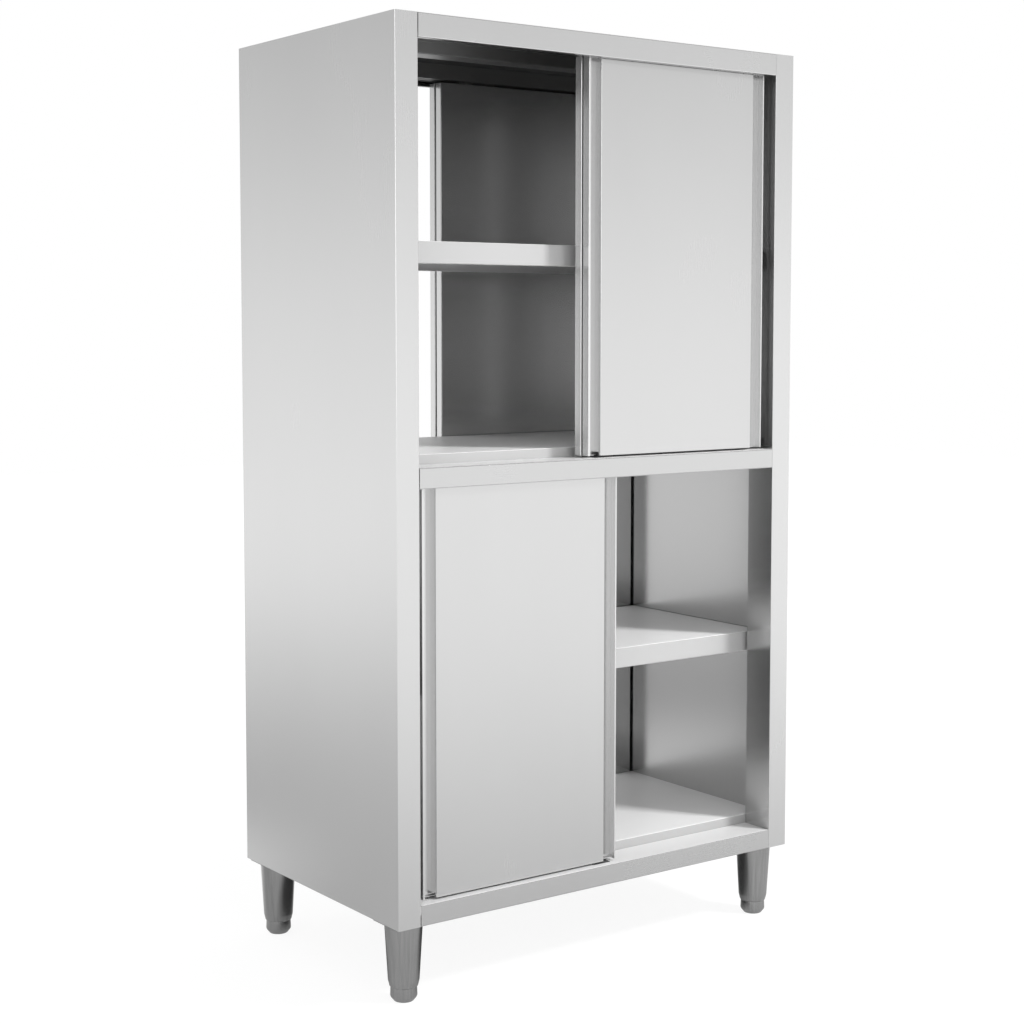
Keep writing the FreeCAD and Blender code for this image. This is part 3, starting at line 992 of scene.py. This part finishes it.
class Sheets:
    """Gives the pieces that the frame already holds their finishes, by patterns of their names."""

    finishes: tuple[tuple[BrushedSteel | Plastic, tuple[str, ...]], ...] = (
        (PANEL_SHEET, ("left_side_panel", "right_side_panel")),
        (DOOR_SHEET, ("*_door_face",)),
        (DOOR_LINING, ("*_door_back",)),
        (TOP_SHEET, ("top_panel",)),
        (RAIL_SHEET, ("middle_rails", "bottom_rails")),
        (DECK_SHEET, ("middle_deck", "bottom_deck")),
        (SHELF_SHEET, ("upper_shelf", "lower_shelf")),
        (MILL_STEEL, ("*_tracks", "shelf_brackets", "stiffeners", "leg_plates", "*_hangers")),
        (NYLON, ("floor_guides", "*_roller")),
    )

    def __init__(self, nodes: dict[str, bpy.types.Object]) -> None:
        """Keeps the frame's nodes.

        Args:
            nodes: The frame's objects by name.
        """
        self.nodes = nodes

    def dress(self) -> None:
        """Gives each node its finish, except those that turned pieces replace."""
        for finish, patterns in self.finishes:
            material = finish.build()
            for name, node in self.nodes.items():
                if any(fnmatchcase(name, pattern) for pattern in patterns):
                    node.data.materials.clear()
                    node.data.materials.append(material)
                    LOG.info("node %s gets %s", name, material.name)


# ---------------------------------------------------------------------- studio


@dataclass(frozen=True)
class SoftBox:
    """A rectangular lamp.

    Args:
        name: The lamp's name.
        place: Where it stands.
        target: What it points at.
        width: Its width.
        height: Its height.
        power: Its power in watts.
        mirrored: Whether it shows in reflections.
    """

    name: str
    place: tuple[float, float, float]
    target: tuple[float, float, float]
    width: float
    height: float
    power: float
    mirrored: bool = True

    def build(self) -> None:
        """Adds the lamp to the scene."""
        lamp = bpy.data.lights.new(self.name, "AREA")
        lamp.shape = "RECTANGLE"
        lamp.size, lamp.size_y = self.width, self.height
        lamp.energy = self.power
        item = bpy.data.objects.new(self.name, lamp)
        item.visible_glossy = self.mirrored
        item.location = self.place
        ahead = Vector(self.target) - Vector(self.place)
        item.rotation_euler = ahead.to_track_quat("-Z", "Y").to_euler()
        bpy.context.scene.collection.objects.link(item)


@dataclass(frozen=True)
class Camera:
    """The view of the cupboard from its front left.

    Args:
        place: The eye.
        yaw: The turn of the view from +Y towards +X, in degrees.
        pitch: How far it looks down, in degrees.
        focal_pixels: The focal length in pixels of the picture.
        rise: The shift of the frame, in frame widths.
        picture_width: The picture's width in pixels.
        sensor: The sensor's width in millimetres.
    """

    place: tuple[float, float, float] = (-2.3197, -3.1615, 1.2878)
    yaw: float = 36.03
    pitch: float = 4.19
    focal_pixels: float = 1850.3
    rise: float = -0.0508
    picture_width: int = 1024
    sensor: float = 36.0

    def build(self) -> None:
        """Adds the camera and makes it the scene's own."""
        data = bpy.data.cameras.new("view")
        data.sensor_width = self.sensor
        data.lens = self.focal_pixels / self.picture_width * self.sensor
        data.shift_y = self.rise
        yaw, pitch = math.radians(self.yaw), math.radians(self.pitch)
        level = math.cos(pitch)
        ahead = Vector((math.sin(yaw) * level, math.cos(yaw) * level, -math.sin(pitch)))
        item = bpy.data.objects.new("view", data)
        item.location = self.place
        item.rotation_euler = ahead.to_track_quat("-Z", "Y").to_euler()
        bpy.context.scene.collection.objects.link(item)
        bpy.context.scene.camera = item


@dataclass(frozen=True)
class Fade:
    """A smooth change of a value with a distance.

    Args:
        near: The distance where it starts.
        far: The distance where it ends.
        before: The value up to the start.
        after: The value from the end on.
    """

    near: float
    far: float
    before: float
    after: float

    def along(self, graph: Graph, distance: Wire) -> Wire:
        """The value at a distance.

        Args:
            graph: The material's tree.
            distance: The distance.

        Returns:
            The value there.
        """
        return graph.wire(
            "ShaderNodeMapRange",
            {"interpolation_type": "SMOOTHSTEP"},
            {
                "Value": distance,
                "From Min": self.near,
                "From Max": self.far,
                "To Min": self.before,
                "To Max": self.after,
            },
        )


@dataclass(frozen=True)
class Studio:
    """The pale floor, the white surroundings and the lamps.

    Args:
        floor_reach: Half the floor's side.
        floor_level: The floor's linear grey.
        floor_mottle: How far that grey varies.
        floor_dimming: The share by which the floor's matt part is darker in reflections.
        glow: The strength of the white surroundings at eye level.
        sky: The surroundings' brightness in reflections, by height: 0 is straight down and 1 is
            straight up.
        front: The direction in which the surroundings are brightest in reflections.
        front_gain: How much brighter they are there than at the side.
        side_gain: Their brightness at the side.
        patch: The middle of the floor's bright patch behind the cupboard, seen in its inner sides.
        shade: The stretch that makes the shaded floor under the cupboard a round of radius one.
        seen: The floor's own light to the eye, by the distance from the middle.
        mirrored: Its light in reflections, by the distance from the patch.
        bright: What the patch adds to that, by the distance from its middle.
        clear: The share of both that is left, by the distance from the shaded round's middle.
        lamps: The soft boxes.
    """

    floor_reach: float = 12.0
    floor_level: float = 0.62
    floor_mottle: float = 0.01
    floor_dimming: float = 0.84
    glow: float = 1.1
    sky: tuple[tuple[float, float], ...] = (
        (0.40, 1.0),
        (0.50, 1.0),
        (0.55, 0.70),
        (0.60, 0.50),
        (0.75, 0.42),
        (1.00, 0.38),
    )
    front: tuple[float, float, float] = (0.3, -0.95, 0.0)
    front_gain: float = 0.065
    side_gain: float = 0.99
    patch: tuple[float, float, float] = (-0.25, 0.95, 0.0)
    shade: tuple[float, float, float] = (1.8, 2.6, 0.0)
    seen: Fade = Fade(near=1.0, far=4.0, before=0.82, after=1.0)
    mirrored: Fade = Fade(near=-1.5, far=6.0, before=0.21, after=1.0)
    bright: Fade = Fade(near=0.3, far=0.8, before=0.55, after=0.0)
    clear: Fade = Fade(near=0.7, far=1.15, before=0.05, after=1.0)
    lamps: tuple[SoftBox, ...] = (
        SoftBox(
            "key",
            place=(2.08, -2.68, 3.4),
            target=(0.1, -0.25, 0.9),
            width=0.55,
            height=0.55,
            power=170.0,
            mirrored=False,
        ),
        SoftBox(
            "fill",
            place=(-3.4, -1.6, 2.0),
            target=(-0.4, 0.0, 1.0),
            width=2.0,
            height=2.0,
            power=20.0,
        ),
    )

    def build(self) -> None:
        """Adds everything to the scene."""
        self._world()
        self._floor()
        for lamp in self.lamps:
            lamp.build()

    def _world(self) -> None:
        """White to the eye and to matt surfaces, and darker overhead in reflections."""
        world = bpy.data.worlds.new("surroundings")
        world.use_nodes = True
        bpy.context.scene.world = world
        graph = Graph(world.node_tree)
        path = graph.node("ShaderNodeLightPath")
        shiny = self._shiny(graph, path)
        way = graph.wire("ShaderNodeTexCoord", output="Generated")
        rise = graph.wire("ShaderNodeSeparateXYZ", inputs={"Vector": way}, output="Z")
        stops = [(height, grey(level)) for height, level in self.sky]
        band = graph.wire("ShaderNodeValToRGB", {"stops": stops}, {"Fac": rise * 0.5 + 0.5})
        front = graph.wire(
            "ShaderNodeVectorMath",
            {"operation": "DOT_PRODUCT"},
            {0: way, 1: self.front},
            output="Value",
        )
        gain = front * self.front_gain + self.side_gain
        strength = 1.0 - shiny * (1.0 - band * self.glow * gain)
        sky = graph.wire("ShaderNodeBackground", inputs={"Color": grey(1.0), "Strength": strength})
        graph.node("ShaderNodeOutputWorld", inputs={"Surface": sky})

    @staticmethod
    def _shiny(graph: Graph, path: bpy.types.Node) -> Wire:
        """1 for a ray that metal mirrors or glass lets through, and 0 for others."""
        mirrored = Wire(graph, path.outputs["Is Glossy Ray"])
        return mirrored + Wire(graph, path.outputs["Is Transmission Ray"])

    def _floor(self) -> None:
        """A white floor that keeps a soft shadow."""
        material = bpy.data.materials.new("studio_floor")
        material.use_nodes = True
        graph = Graph(material.node_tree)
        path = graph.node("ShaderNodeLightPath")
        place = graph.wire("ShaderNodeTexCoord", output="Object")
        mottle = graph.wire(
            "ShaderNodeTexNoise",
            inputs={"Vector": place, "Scale": 3.0, "Detail": 2.0},
        )
        shiny = self._shiny(graph, path)
        own = (mottle - 0.5) * self.floor_mottle + self.floor_level
        level = own * (1.0 - shiny * self.floor_dimming)
        tint = graph.wire(
            "ShaderNodeCombineColor",
            inputs={"Red": level, "Green": level, "Blue": level},
        )
        matt = graph.wire("ShaderNodeBsdfDiffuse", inputs={"Color": tint})
        light = graph.wire(
            "ShaderNodeEmission",
            inputs={"Color": grey(1.0), "Strength": self.glow},
        )
        away, aside = (
            graph.wire(
                "ShaderNodeVectorMath",
                {"operation": "DISTANCE"},
                {0: place, 1: centre},
                output="Value",
            )
            for centre in ((0.0, 0.0, 0.0), self.patch)
        )
        squeezed = graph.wire(
            "ShaderNodeVectorMath",
            {"operation": "MULTIPLY"},
            {0: place, 1: self.shade},
        )
        out = graph.wire(
            "ShaderNodeVectorMath",
            {"operation": "LENGTH"},
            {0: squeezed},
            output="Value",
        )
        seen = self.seen.along(graph, away)
        mirrored = self.mirrored.along(graph, aside)
        bright = self.bright.along(graph, aside)
        clear = self.clear.along(graph, out)
        camera = Wire(graph, path.outputs["Is Camera Ray"])
        share = camera * seen + shiny * clear * (mirrored + bright)
        mixed = graph.wire("ShaderNodeMixShader", inputs={0: share, 1: matt, 2: light})
        graph.node("ShaderNodeOutputMaterial", inputs={"Surface": mixed})
        reach = self.floor_reach
        mesh = bpy.data.meshes.new("floor")
        sides = ((-reach, -reach), (reach, -reach), (reach, reach), (-reach, reach))
        mesh.from_pydata([(x, y, 0.0) for x, y in sides], [], [(0, 1, 2, 3)])
        mesh.materials.append(material)
        floor = bpy.data.objects.new("floor", mesh)
        bpy.context.scene.collection.objects.link(floor)


def main() -> None:
    """Loads the frame, dresses it and sets up the picture."""
    logging.basicConfig(level=logging.INFO, format="%(name)s: %(message)s")
    bpy.ops.wm.read_factory_settings(use_empty=True)
    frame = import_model()
    Camera().build()
    Studio().build()
    bpy.context.scene.view_settings.view_transform = "Standard"
    screw_steel = SCREW_STEEL.build()
    repeater = Repeater()
    Sheets(frame["nodes"]).dress()
    Undercarriage().build(TURNED_STEEL.build(), screw_steel, repeater)
    FloorGuides().build(screw_steel, repeater)


if __name__ == "__main__":
    main()
